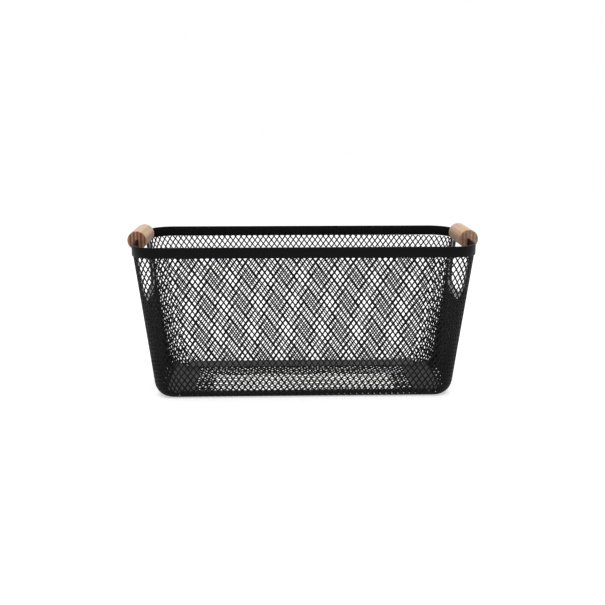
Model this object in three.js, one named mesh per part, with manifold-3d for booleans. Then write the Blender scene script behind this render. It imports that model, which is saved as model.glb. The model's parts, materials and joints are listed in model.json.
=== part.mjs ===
// Storage basket: a tapered tub of diamond steel mesh under a flat steel rim hoop, with a lined hand hole
// in each short side, a slotted bamboo bar pushed over the hoop above it, and a flat strip frame on the floor.
// Millimetres, +Z up. The origin lies on the ground under the middle of the basket, and +X runs along it.

import * as THREE from 'three';
import { mergeVertices } from 'three/addons/utils/BufferGeometryUtils.js';
import Module from 'manifold-3d';

// Rim hoop, outer sizes
const RIM_LENGTH = 400;
const RIM_WIDTH = 183;
const RIM_CORNER_RADIUS = 30.5;
const RIM_HEIGHT = 187;
const BAND_HEIGHT = 12.5;
const BAND_THICKNESS = 2.4;

// Mesh tub, outer sizes; the floor's are those of the walls carried down to the ground without their bend
const FLOOR_LENGTH = 360;
const FLOOR_WIDTH = 132;
const FLOOR_CORNER_RADIUS = 20;
const END_BEND_RADIUS = 18;
const SIDE_BEND_RADIUS = 8;
const SHEET_THICKNESS = 0.8;
const MESH_INSET = 1.4;

// Diamonds of the mesh and the width of its strands, all five times the real ones
const DIAMOND_WIDTH = 36;
const DIAMOND_HEIGHT = 50;
const STRAND_WIDTH = 7;

// Hand hole in each short side, measured inside its lining and down from the hoop
const HOLE_WIDTH = 85;
const HOLE_DEPTH = 56;
const HOLE_CORNER_RADIUS = 26;
const LINING_THICKNESS = 1;
const LINING_LAP = 8.5;
const BESIDE_HOLE_SHARE = 1.2;

// Strip frame on the mesh floor: flat cross strips near its ends, and edges turned up into the bends
const FRAME_INSET = 13;
const FRAME_END_WIDTH = 16;
const FRAME_THICKNESS = 1.2;
const FRAME_SIDE_EDGE = 1.15 * SIDE_BEND_RADIUS;
const FRAME_SIDE_SETBACK = SIDE_BEND_RADIUS / 3;
const FRAME_SIDE_SLANT = Math.PI / 4;
const FRAME_END_EDGE = END_BEND_RADIUS;
const FRAME_END_SLANT = Math.PI / 8;

// Bamboo bars
const HANDLE_DIAMETER = 23;
const HANDLE_LENGTH = 64;
const HANDLE_DROP = 0.5;
const HANDLE_CHAMFER = 0.6;

// Clearance between pieces that meet
const JOINT_GAP = 0.3;

// Segments of round outlines
const CORNER_SEGMENTS = 10;
const BAR_SEGMENTS = 40;

// Derived places
const BAND_UNDERSIDE = RIM_HEIGHT - BAND_HEIGHT;
const MESH_TOP = BAND_UNDERSIDE - JOINT_GAP;
const TOP_RADIUS = RIM_CORNER_RADIUS - MESH_INSET;
const LINING_GROOVE = SHEET_THICKNESS + 2 * JOINT_GAP;
const LINING_WIDTH = LINING_GROOVE + 2 * LINING_THICKNESS;
const QUARTER_TURN = Math.PI / 2;
const DIFFERENCE_STEP = 1e-3;
const COMPASS = [[1, 0], [0, 1], [-1, 0], [0, -1]];

const coatedSteel = new THREE.MeshStandardMaterial({ color: 0x1b1b1d, roughness: 0.5, metalness: 0.3 });
const bamboo = new THREE.MeshStandardMaterial({ color: 0xd8b084, roughness: 0.6, metalness: 0 });

const wasm = await Module();
wasm.setup();

/** A wall's foot, lean and bend, along the basket or across it. */
function wallLine(foot, head, bend) {
  const lean = (head - foot) / MESH_TOP;
  return { foot, lean, slope: Math.atan(lean), bend };
}

const endWall = wallLine(FLOOR_LENGTH / 2, RIM_LENGTH / 2 - MESH_INSET, END_BEND_RADIUS);
const longWall = wallLine(FLOOR_WIDTH / 2, RIM_WIDTH / 2 - MESH_INSET, SIDE_BEND_RADIUS);
const meanSlope = (endWall.slope + longWall.slope) / 2;
const LARGE_BEND = Math.max(END_BEND_RADIUS, SIDE_BEND_RADIUS);
const BEND_TOP = LARGE_BEND * (1 - Math.sin(meanSlope));

/** Distance from the middle to a wall's outer face at height z, with the bend that runs into the floor. */
function wallReach(wall, z) {
  const straight = wall.foot + wall.lean * z;
  const tangentHeight = wall.bend * (1 - Math.sin(wall.slope));
  if (z >= tangentHeight) return straight;
  const centre = wall.foot + wall.lean * wall.bend - wall.bend / Math.cos(wall.slope);
  return centre + Math.sqrt(Math.max(0, wall.bend ** 2 - (wall.bend - z) ** 2));
}

/** How far the bend draws a wall in from its straight line at height z. */
function bendInset(wall, z) {
  return wall.foot + wall.lean * z - wallReach(wall, z);
}

/** Outer outline of the tub at height z: half length, half width and corner radius. */
function outlineAt(z) {
  const halfLength = wallReach(endWall, z);
  const halfWidth = wallReach(longWall, z);
  const straightRadius = FLOOR_CORNER_RADIUS + (TOP_RADIUS - FLOOR_CORNER_RADIUS) * (z / MESH_TOP);
  const radius = straightRadius - (bendInset(endWall, z) + bendInset(longWall, z)) / 2;
  return { halfLength, halfWidth, radius, z };
}

// Rows of diamonds from the floor up: first those on the bend, then those on the straight wall
const bendLength = LARGE_BEND * (QUARTER_TURN - meanSlope);
const wallLength = (MESH_TOP - BEND_TOP) / Math.cos(meanSlope);
const bendRows = Math.max(1, Math.round(bendLength / DIAMOND_HEIGHT));
const wallRows = Math.max(1, Math.round(wallLength / DIAMOND_HEIGHT));

/** Height of the row line v, counted from the floor. */
function rowHeight(v) {
  if (v >= bendRows) return BEND_TOP + (MESH_TOP - BEND_TOP) * ((v - bendRows) / wallRows);
  const angle = -QUARTER_TURN + (QUARTER_TURN - meanSlope) * (v / bendRows);
  return LARGE_BEND * (1 + Math.sin(angle));
}

/** Number of diamonds that fit a length. */
function diamondsAlong(length) {
  return Math.max(1, Math.round(length / DIAMOND_WIDTH));
}

/** Share of half a diamond that a knuckle takes where strands cross. */
function knuckleShare(width, height) {
  return (STRAND_WIDTH * Math.hypot(width, height)) / (width * height);
}

/** Outward unit normal of a sheet, where u runs right and v up as seen from outside. */
function sheetNormal(sheet, u, v, columns, rows) {
  const uLow = sheet(Math.max(0, u - DIFFERENCE_STEP), v);
  const uHigh = sheet(Math.min(columns, u + DIFFERENCE_STEP), v);
  const vLow = sheet(u, Math.max(0, v - DIFFERENCE_STEP));
  const vHigh = sheet(u, Math.min(rows, v + DIFFERENCE_STEP));
  return uHigh.sub(uLow).cross(vHigh.sub(vLow)).normalize();
}

/** Flat polygons of a diamond net, in half-diamond steps, running anticlockwise. */
function netPolygons(columns, rows, knuckle) {
  const lastColumn = 2 * columns;
  const lastRow = 2 * rows;
  const polygons = [];
  for (let c = 0; c <= lastColumn; c += 1) {
    for (let r = c % 2; r <= lastRow; r += 2) {
      polygons.push(COMPASS.map(([dc, dr]) => {
        const beyond = c + dc < 0 || c + dc > lastColumn || r + dr < 0 || r + dr > lastRow;
        return beyond ? [c, r] : [c + dc * knuckle, r + dr * knuckle];
      }));
    }
  }
  const far = 1 - knuckle;
  const rising = [[knuckle, 0], [1, far], [far, 1], [0, knuckle]];
  const falling = [[1, knuckle], [knuckle, 1], [0, far], [far, 0]];
  for (let c = 0; c < lastColumn; c += 1) {
    for (let r = 0; r < lastRow; r += 1) {
      const strand = (c + r) % 2 === 0 ? rising : falling;
      polygons.push(strand.map(([dc, dr]) => [c + dc, r + dr]));
    }
  }
  return polygons;
}

/** Closed net of the sheet's thickness: polygons on its outer face, the same inside, and walls between. */
function netGeometry(sheet, columns, rows, knuckle) {
  const positions = [];
  const indices = [];
  const known = new Map();
  const edges = new Map();

  const vertexPair = ([c, r]) => {
    const key = `${c.toFixed(4)} ${r.toFixed(4)}`;
    if (!known.has(key)) {
      const outer = sheet(c / 2, r / 2);
      const normal = sheetNormal(sheet, c / 2, r / 2, columns, rows);
      const inner = outer.clone().addScaledVector(normal, -SHEET_THICKNESS);
      known.set(key, positions.length / 3);
      positions.push(outer.x, outer.y, outer.z, inner.x, inner.y, inner.z);
    }
    return known.get(key);
  };

  for (const polygon of netPolygons(columns, rows, knuckle)) {
    const ring = [...new Set(polygon.map(vertexPair))];
    for (let i = 1; i + 1 < ring.length; i += 1) {
      indices.push(ring[0], ring[i], ring[i + 1]);
      indices.push(ring[0] + 1, ring[i + 1] + 1, ring[i] + 1);
    }
    ring.forEach((from, i) => {
      const to = ring[(i + 1) % ring.length];
      if (!edges.delete(`${to} ${from}`)) edges.set(`${from} ${to}`, [from, to]);
    });
  }
  for (const [from, to] of edges.values()) {
    indices.push(to, from, from + 1);
    indices.push(to, from + 1, to + 1);
  }

  const geometry = new THREE.BufferGeometry();
  geometry.setAttribute('position', new THREE.Float32BufferAttribute(positions, 3));
  geometry.setIndex(indices);
  geometry.computeVertexNormals();
  return geometry;
}

/** Solid of a closed geometry, for cuts. */
function toSolid(geometry) {
  const bare = geometry.clone();
  bare.deleteAttribute('normal');
  bare.deleteAttribute('uv');
  const merged = mergeVertices(bare);
  const vertProperties = new Float32Array(merged.attributes.position.array);
  const triVerts = new Uint32Array(merged.index.array);
  return new wasm.Manifold(new wasm.Mesh({ numProp: 3, vertProperties, triVerts }));
}

/** Geometry of a cut solid. */
function toGeometry(solid) {
  const mesh = solid.getMesh();
  const geometry = new THREE.BufferGeometry();
  geometry.setAttribute('position', new THREE.Float32BufferAttribute(mesh.vertProperties, mesh.numProp));
  geometry.setIndex(Array.from(mesh.triVerts));
  geometry.computeVertexNormals();
  return geometry;
}

/** Named mesh of one piece. */
function piece(name, geometry, material) {
  const mesh = new THREE.Mesh(geometry, material);
  mesh.name = name;
  return mesh;
}

/** Rounded rectangle, as a shape or as a hole's path. */
function roundedRectangle(outline, halfLength, halfWidth, radius) {
  const x = halfLength - radius;
  const y = halfWidth - radius;
  outline.absarc(x, -y, radius, -QUARTER_TURN, 0);
  outline.absarc(x, y, radius, 0, QUARTER_TURN);
  outline.absarc(-x, y, radius, QUARTER_TURN, 2 * QUARTER_TURN);
  outline.absarc(-x, -y, radius, 2 * QUARTER_TURN, 3 * QUARTER_TURN);
  outline.closePath();
  return outline;
}

/** Flat bar hoop round the rim, open in the middle. */
function rimBand() {
  const halfLength = RIM_LENGTH / 2;
  const halfWidth = RIM_WIDTH / 2;
  const outline = roundedRectangle(new THREE.Shape(), halfLength, halfWidth, RIM_CORNER_RADIUS);
  const t = BAND_THICKNESS;
  const inner = roundedRectangle(new THREE.Path(), halfLength - t, halfWidth - t, RIM_CORNER_RADIUS - t);
  outline.holes.push(inner);
  const options = { depth: BAND_HEIGHT, bevelEnabled: false, curveSegments: CORNER_SEGMENTS };
  const band = piece('rim_band', new THREE.ExtrudeGeometry(outline, options), coatedSteel);
  band.position.z = BAND_UNDERSIDE;
  return band;
}

/** Net of the flat floor inside the bends, with its corners rounded off. */
function floorMesh() {
  const ground = outlineAt(0);
  const halfLength = ground.halfLength - JOINT_GAP;
  const halfWidth = ground.halfWidth - JOINT_GAP;
  const columns = diamondsAlong(2 * halfLength);
  const rows = Math.max(1, Math.round((2 * halfWidth) / DIAMOND_HEIGHT));
  const sheet = (u, v) => new THREE.Vector3(
    halfLength * ((2 * u) / columns - 1),
    halfWidth * (1 - (2 * v) / rows),
    0,
  );
  const knuckle = knuckleShare((2 * halfLength) / columns, (2 * halfWidth) / rows);
  const net = toSolid(netGeometry(sheet, columns, rows, knuckle));
  const blank = roundedRectangle(new THREE.Shape(), halfLength, halfWidth, ground.radius - JOINT_GAP);
  const options = { depth: 2 * SHEET_THICKNESS, bevelEnabled: false, curveSegments: CORNER_SEGMENTS };
  const prism = new THREE.ExtrudeGeometry(blank, options).translate(0, 0, -SHEET_THICKNESS / 2);
  return piece('floor_mesh', toGeometry(net.intersect(toSolid(prism))), coatedSteel);
}

/** Edge of the floor frame turned up towards the wall, along Y, with its foot at a distance along X. */
function turnedUpEdge(length, foot, base, width, slant) {
  const out = [Math.cos(slant), Math.sin(slant)];
  const t = FRAME_THICKNESS;
  const section = new THREE.Shape();
  section.moveTo(foot, base);
  section.lineTo(foot + width * out[0], base + width * out[1]);
  section.lineTo(foot + width * out[0] - t * out[1], base + width * out[1] + t * out[0]);
  section.lineTo(foot - t * out[1], base + t * out[0]);
  section.closePath();
  const edge = new THREE.ExtrudeGeometry(section, { depth: length, bevelEnabled: false });
  edge.translate(0, 0, -length / 2);
  return edge.rotateX(QUARTER_TURN);
}

/** Strip frame on the mesh floor, open in the middle. */
function floorFrame() {
  const ground = outlineAt(0);
  const halfLength = ground.halfLength - FRAME_INSET;
  const foot = ground.halfWidth - FRAME_SIDE_SETBACK;
  const base = SHEET_THICKNESS + JOINT_GAP;
  const side = toSolid(turnedUpEdge(2 * halfLength, foot, base, FRAME_SIDE_EDGE, FRAME_SIDE_SLANT));
  const end = toSolid(turnedUpEdge(2 * foot, halfLength, base, FRAME_END_EDGE, FRAME_END_SLANT));
  const cross = new THREE.BoxGeometry(FRAME_END_WIDTH, 2 * foot, FRAME_THICKNESS);
  cross.translate(halfLength - FRAME_END_WIDTH / 2, 0, base + FRAME_THICKNESS / 2);
  const half = side.rotate([0, 0, 90]).add(end).add(toSolid(cross));
  return piece('floor_frame', toGeometry(half.add(half.rotate([0, 0, 180]))), coatedSteel);
}

/** Net of one side between two corners, with the bend at its foot. */
function sideNet(outwardAngle, outAndAlong, columns) {
  const outward = new THREE.Vector3(Math.cos(outwardAngle), Math.sin(outwardAngle), 0);
  const right = new THREE.Vector3(-outward.y, outward.x, 0);
  const rows = bendRows + wallRows;
  const sheet = (u, v) => {
    const level = outlineAt(rowHeight(v));
    const { out, along } = outAndAlong(level);
    const shift = (along - JOINT_GAP / 2) * ((2 * u) / columns - 1);
    const point = new THREE.Vector3(0, 0, level.z);
    return point.addScaledVector(outward, out).addScaledVector(right, shift);
  };
  return netGeometry(sheet, columns, rows, knuckleShare(DIAMOND_WIDTH, DIAMOND_HEIGHT));
}

/** Out-of-middle distance and half length of the long sides' flat stretch. */
function longSide(level) {
  return { out: level.halfWidth, along: level.halfLength - level.radius };
}

/** Out-of-middle distance and half length of the short sides' flat stretch. */
function shortSide(level) {
  return { out: level.halfLength, along: level.halfWidth - level.radius };
}

/** Net of one rounded corner, which starts at an angle and turns a quarter to the left. */
function cornerNet(startAngle) {
  const middle = startAngle + QUARTER_TURN / 2;
  const xSide = Math.sign(Math.cos(middle));
  const ySide = Math.sign(Math.sin(middle));
  const columns = Math.max(2, diamondsAlong(QUARTER_TURN * TOP_RADIUS));
  const rows = bendRows + wallRows;
  const sheet = (u, v) => {
    const level = outlineAt(rowHeight(v));
    const margin = JOINT_GAP / 2 / level.radius;
    const angle = startAngle + margin + (QUARTER_TURN - 2 * margin) * (u / columns);
    return new THREE.Vector3(
      xSide * (level.halfLength - level.radius) + level.radius * Math.cos(angle),
      ySide * (level.halfWidth - level.radius) + level.radius * Math.sin(angle),
      level.z,
    );
  };
  return netGeometry(sheet, columns, rows, knuckleShare(DIAMOND_WIDTH, DIAMOND_HEIGHT));
}

/** Lower part of a hand hole's outline, grown by an offset, from its left top to its right top. */
function traceHole(outline, offset) {
  const half = HOLE_WIDTH / 2 + offset;
  const radius = HOLE_CORNER_RADIUS + offset;
  const bottom = -HOLE_DEPTH - offset;
  outline.lineTo(-half, bottom + radius);
  outline.absarc(-half + radius, bottom + radius, radius, 2 * QUARTER_TURN, 3 * QUARTER_TURN);
  outline.absarc(half - radius, bottom + radius, radius, -QUARTER_TURN, 0);
}

/** Places a geometry drawn on the end wall's middle plane: x along +Y, y up the wall, z outwards. */
function onEndWall(geometry) {
  const up = new THREE.Vector3(Math.sin(endWall.slope), 0, Math.cos(endWall.slope));
  const outward = new THREE.Vector3(Math.cos(endWall.slope), 0, -Math.sin(endWall.slope));
  const top = new THREE.Vector3(wallReach(endWall, MESH_TOP), 0, MESH_TOP);
  top.addScaledVector(outward, -SHEET_THICKNESS / 2);
  const frame = new THREE.Matrix4().makeBasis(new THREE.Vector3(0, 1, 0), up, outward);
  return geometry.applyMatrix4(frame.setPosition(top));
}

/** Net of a short side, with half a diamond beside its hand hole, less the hole and what it cuts off. */
function endNet() {
  const margin = LINING_THICKNESS + JOINT_GAP;
  const past = LINING_WIDTH;
  const outline = new THREE.Shape();
  outline.moveTo(-HOLE_WIDTH / 2 - margin, past);
  traceHole(outline, margin);
  outline.lineTo(HOLE_WIDTH / 2 + margin, past);
  outline.closePath();
  const options = { depth: 2 * past, bevelEnabled: false, curveSegments: CORNER_SEGMENTS };
  const cutter = onEndWall(new THREE.ExtrudeGeometry(outline, options).translate(0, 0, -past));
  const straightDepth = (HOLE_DEPTH - HOLE_CORNER_RADIUS) * Math.cos(endWall.slope);
  const { along } = shortSide(outlineAt(MESH_TOP - straightDepth));
  const beside = Math.max(SHEET_THICKNESS, along - HOLE_WIDTH / 2 - margin);
  const columns = Math.max(diamondsAlong(2 * along), Math.ceil((BESIDE_HOLE_SHARE * along) / beside));
  const net = toSolid(sideNet(0, shortSide, columns));
  const bodies = net.subtract(toSolid(cutter)).decompose();
  const main = bodies.reduce((largest, body) => (body.volume() > largest.volume() ? body : largest));
  return toGeometry(main);
}

/** Plate round a hand hole between two offsets from its edge, in the middle of the wall, up to a height. */
function holePlate(from, to, top, thickness) {
  const half = HOLE_WIDTH / 2 + from;
  const radius = HOLE_CORNER_RADIUS + from;
  const middle = HOLE_CORNER_RADIUS - HOLE_DEPTH;
  const outline = new THREE.Shape();
  outline.moveTo(-HOLE_WIDTH / 2 - to, top);
  traceHole(outline, to);
  outline.lineTo(HOLE_WIDTH / 2 + to, top);
  outline.lineTo(half, top);
  outline.absarc(half - radius, middle, radius, 0, -QUARTER_TURN, true);
  outline.absarc(radius - half, middle, radius, -QUARTER_TURN, -2 * QUARTER_TURN, true);
  outline.lineTo(-half, top);
  outline.closePath();
  const options = { depth: thickness, bevelEnabled: false, curveSegments: CORNER_SEGMENTS };
  return toSolid(new THREE.ExtrudeGeometry(outline, options).translate(0, 0, -thickness / 2));
}

/** Steel strip folded over the mesh's edge round a hand hole. */
function holeLining() {
  const folded = holePlate(0, LINING_LAP, 0, LINING_WIDTH);
  const groove = holePlate(LINING_THICKNESS, 2 * LINING_LAP, LINING_THICKNESS, LINING_GROOVE);
  return onEndWall(toGeometry(folded.subtract(groove)));
}

/** Bamboo bar with a slot sawn up from below, drawn on end and laid along Y over the hoop. */
function handleBar() {
  const radius = HANDLE_DIAMETER / 2 - HANDLE_CHAMFER;
  const halfSlot = BAND_THICKNESS / 2 + JOINT_GAP + HANDLE_CHAMFER;
  const slotTop = HANDLE_DROP + JOINT_GAP + HANDLE_CHAMFER;
  const slotAngle = Math.asin(halfSlot / radius);
  const outline = new THREE.Shape();
  outline.absarc(0, 0, radius, slotAngle - QUARTER_TURN, 3 * QUARTER_TURN - slotAngle);
  outline.lineTo(-halfSlot, slotTop);
  outline.lineTo(halfSlot, slotTop);
  outline.closePath();
  const bar = new THREE.ExtrudeGeometry(outline, {
    depth: HANDLE_LENGTH - 2 * HANDLE_CHAMFER,
    curveSegments: BAR_SEGMENTS,
    bevelThickness: HANDLE_CHAMFER,
    bevelSize: HANDLE_CHAMFER,
    bevelSegments: 1,
  });
  return bar.translate(0, 0, HANDLE_CHAMFER - HANDLE_LENGTH / 2).rotateX(QUARTER_TURN);
}

/** Half of the basket: a long side, a short side with its handle, and the corners beside the short side. */
function halfBasket(turn, names) {
  const half = new THREE.Group();
  half.rotation.z = turn;
  const columns = diamondsAlong(2 * longSide(outlineAt(MESH_TOP)).along);
  const handle = piece(names.handle, handleBar(), bamboo);
  handle.position.set(RIM_LENGTH / 2 - BAND_THICKNESS / 2, 0, RIM_HEIGHT - HANDLE_DROP);
  half.add(
    piece(names.longSide, sideNet(-QUARTER_TURN, longSide, columns), coatedSteel),
    piece(names.nearCorner, cornerNet(-QUARTER_TURN), coatedSteel),
    piece(names.shortSide, endNet(), coatedSteel),
    piece(names.farCorner, cornerNet(0), coatedSteel),
    piece(names.lining, holeLining(), coatedSteel),
    handle,
  );
  return half;
}

const basket = new THREE.Group();
basket.add(
  rimBand(),
  floorMesh(),
  floorFrame(),
  halfBasket(0, {
    longSide: 'front_mesh',
    nearCorner: 'front_right_corner_mesh',
    shortSide: 'right_mesh',
    farCorner: 'back_right_corner_mesh',
    lining: 'right_hole_lining',
    handle: 'right_handle',
  }),
  halfBasket(Math.PI, {
    longSide: 'back_mesh',
    nearCorner: 'back_left_corner_mesh',
    shortSide: 'left_mesh',
    farCorner: 'front_left_corner_mesh',
    lining: 'left_hole_lining',
    handle: 'left_handle',
  }),
);

export default basket;
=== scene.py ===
"""Dressed scene of a storage basket of black diamond steel mesh with bamboo bar handles.

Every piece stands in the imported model's frame, in metres, with +Z up. Sizes are written in millimetres.
"""

import json
import logging
import math
from collections.abc import Callable, Iterable, Sequence
from dataclasses import dataclass, field, replace
from enum import Enum
from functools import cached_property

import bpy
from mathutils import Euler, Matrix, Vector

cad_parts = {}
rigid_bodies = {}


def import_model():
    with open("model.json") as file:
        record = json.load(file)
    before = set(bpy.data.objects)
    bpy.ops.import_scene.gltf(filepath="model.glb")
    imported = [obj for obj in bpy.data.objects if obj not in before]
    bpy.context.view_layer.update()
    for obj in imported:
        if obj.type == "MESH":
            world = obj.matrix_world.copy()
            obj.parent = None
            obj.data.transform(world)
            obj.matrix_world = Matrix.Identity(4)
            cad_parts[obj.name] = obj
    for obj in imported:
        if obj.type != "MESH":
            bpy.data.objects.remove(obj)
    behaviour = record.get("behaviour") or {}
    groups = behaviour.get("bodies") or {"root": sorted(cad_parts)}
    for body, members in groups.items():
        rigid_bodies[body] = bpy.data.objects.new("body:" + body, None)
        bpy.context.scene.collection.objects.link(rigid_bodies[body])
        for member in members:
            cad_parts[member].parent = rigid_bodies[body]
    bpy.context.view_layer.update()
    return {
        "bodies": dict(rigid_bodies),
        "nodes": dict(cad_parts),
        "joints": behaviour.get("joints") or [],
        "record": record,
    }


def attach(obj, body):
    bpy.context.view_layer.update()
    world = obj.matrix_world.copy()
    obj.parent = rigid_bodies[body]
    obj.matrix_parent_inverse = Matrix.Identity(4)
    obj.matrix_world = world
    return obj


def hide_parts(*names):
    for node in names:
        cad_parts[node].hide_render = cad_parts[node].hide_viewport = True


LOG = logging.getLogger("basket")
MM = 0.001
QUARTER_TURN = math.pi / 2
BODY = "root"
BAKE_MAP = "OFBake"

Pair = tuple[float, float]
Triple = tuple[float, float, float]
Colour = tuple[float, float, float, float]
Station = tuple[Vector, Vector, Vector]
Sockets = bpy.types.bpy_prop_collection


class End(Enum):
    """The two short sides of the basket, as signs along X."""

    LEFT = -1
    RIGHT = 1

    def named(self, piece: str) -> str:
        """Name of this side's copy of a piece."""
        return f"{self.name.lower()}_{piece}"


class Slot(Enum):
    """Material slots of the record."""

    RIM = "rim"
    MESH = "mesh"
    BAMBOO = "bamboo"


def tone(red: int, green: int, blue: int) -> Colour:
    """Gives a display colour as the linear values that a shader takes.

    Args:
        red: Red from 0 to 255.
        green: Green from 0 to 255.
        blue: Blue from 0 to 255.

    Returns:
        The linear colour with full alpha.
    """

    def linear(level: int) -> float:
        """One channel's linear value, by the curve of displays."""
        share = level / 255
        return share / 12.92 if share <= 0.04045 else ((share + 0.055) / 1.055) ** 2.4

    return (linear(red), linear(green), linear(blue), 1.0)


def held(share: float) -> float:
    """Holds a share between 0 and 1."""
    return min(1.0, max(0.0, share))


def smooth_step(share: float) -> float:
    """Eases a share from 0 to 1 with level ends."""
    inside = held(share)
    return inside * inside * (3 - 2 * inside)


def ramp(value: float, limits: Pair) -> float:
    """Eases a value from 0 at the first limit to 1 at the second."""
    return smooth_step((value - limits[0]) / (limits[1] - limits[0]))


def quarter_arc(start: int, steps: int) -> list[Pair]:
    """Unit directions over a quarter turn, which starts a number of quarter turns from the first axis."""
    angles = [(start + step / steps) * QUARTER_TURN for step in range(steps + 1)]
    return [(math.cos(angle), math.sin(angle)) for angle in angles]


def new_object(name: str, data: bpy.types.ID) -> bpy.types.Object:
    """Puts a mesh, a lamp or a camera into the scene.

    Args:
        name: Name of the object.
        data: What the object shows.

    Returns:
        The new object.
    """
    made = bpy.data.objects.new(name, data)
    bpy.context.scene.collection.objects.link(made)
    return made


def mesh_of(name: str, points: Sequence[Vector], faces: Sequence[Sequence[int]]) -> bpy.types.Mesh:
    """Makes a mesh from points in millimetres.

    Args:
        name: Name of the mesh.
        points: Corner points in millimetres.
        faces: Corner numbers of each face, anticlockwise from outside.

    Returns:
        The mesh, in metres.
    """
    mesh = bpy.data.meshes.new(name)
    mesh.from_pydata([point * MM for point in points], [], faces)
    mesh.validate()
    mesh.update()
    return mesh


def shade_round(mesh: bpy.types.Mesh, degrees: float = 40.0) -> None:
    """Shades a mesh smooth up to an edge angle."""
    mesh.shade_smooth()
    mesh.set_sharp_from_angle(angle=math.radians(degrees))


class Board:
    """Adds nodes to one node tree and joins them."""

    MIX_SHARE, MIX_FIRST, MIX_SECOND, MIX_RESULT = 0, 6, 7, 2

    def __init__(self, tree: bpy.types.NodeTree) -> None:
        """Starts on an emptied tree."""
        self.tree = tree
        tree.nodes.clear()

    def add(self, kind: str, values: dict | None = None, **settings: object) -> bpy.types.Node:
        """Adds one node.

        Args:
            kind: Blender's name of the node type.
            values: Values of its inputs, or output sockets to join to them, by name or number.
            **settings: Properties of the node itself.

        Returns:
            The new node.
        """
        node = self.tree.nodes.new(kind)
        for key, setting in settings.items():
            setattr(node, key, setting)
        for key, value in (values or {}).items():
            if isinstance(value, bpy.types.NodeSocket):
                self.tree.links.new(value, node.inputs[key])
            else:
                node.inputs[key].default_value = value
        return node

    def math(
        self, operation: str, first: object, second: object = 0.0, third: object = 0.0
    ) -> bpy.types.NodeSocket:
        """Adds a sum of up to three values or sockets and returns its result."""
        values = {0: first, 1: second, 2: third}
        return self.add("ShaderNodeMath", values, operation=operation).outputs[0]

    def spread(self, value: bpy.types.NodeSocket, limits: Pair) -> bpy.types.NodeSocket:
        """Stretches the part of a value between two limits to 0 to 1, held at the ends."""
        values = {"Value": value, "From Min": limits[0], "From Max": limits[1]}
        return self.add("ShaderNodeMapRange", values, clamp=True).outputs["Result"]

    def blend(self, share: object, first: object, second: object) -> bpy.types.NodeSocket:
        """Adds a colour mix and returns its result."""
        values = {self.MIX_SHARE: share, self.MIX_FIRST: first, self.MIX_SECOND: second}
        return self.add("ShaderNodeMix", values, data_type="RGBA").outputs[self.MIX_RESULT]

    def noise(
        self, place: object, scale: object, detail: float, seed: object = None
    ) -> bpy.types.NodeSocket:
        """Adds a noise texture.

        Args:
            place: Socket of the place on the surface.
            scale: Socket of the noise's scale.
            detail: How many finer layers it has.
            seed: Socket that picks one of many patterns, or None for the only one.

        Returns:
            The noise's value.
        """
        values = {"Vector": place, "Scale": scale, "Detail": detail}
        if seed is None:
            return self.add("ShaderNodeTexNoise", values).outputs["Fac"]
        return self.add("ShaderNodeTexNoise", values | {"W": seed}, noise_dimensions="4D").outputs["Fac"]

    def effect(self, tree: bpy.types.NodeTree, values: dict) -> Sockets:
        """Places a shared effect in the object's own frame and returns its outputs."""
        place = self.add("ShaderNodeTexCoord").outputs["Object"]
        return self.add("ShaderNodeGroup", {"Position": place, **values}, node_tree=tree).outputs

    def surface(self, values: dict) -> None:
        """Ends a material with a Principled shader that takes these values."""
        shader = self.add("ShaderNodeBsdfPrincipled", values)
        self.add("ShaderNodeOutputMaterial", {"Surface": shader.outputs[0]})


def new_material(name: str, shown: Colour) -> tuple[bpy.types.Material, Board]:
    """Starts a material.

    Args:
        name: Name of the material.
        shown: Colour that stands for it where no shader runs.

    Returns:
        The material and the board of its emptied node tree.
    """
    made = bpy.data.materials.new(name)
    made.use_nodes = True
    made.diffuse_color = shown
    return made, Board(made.node_tree)


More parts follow.
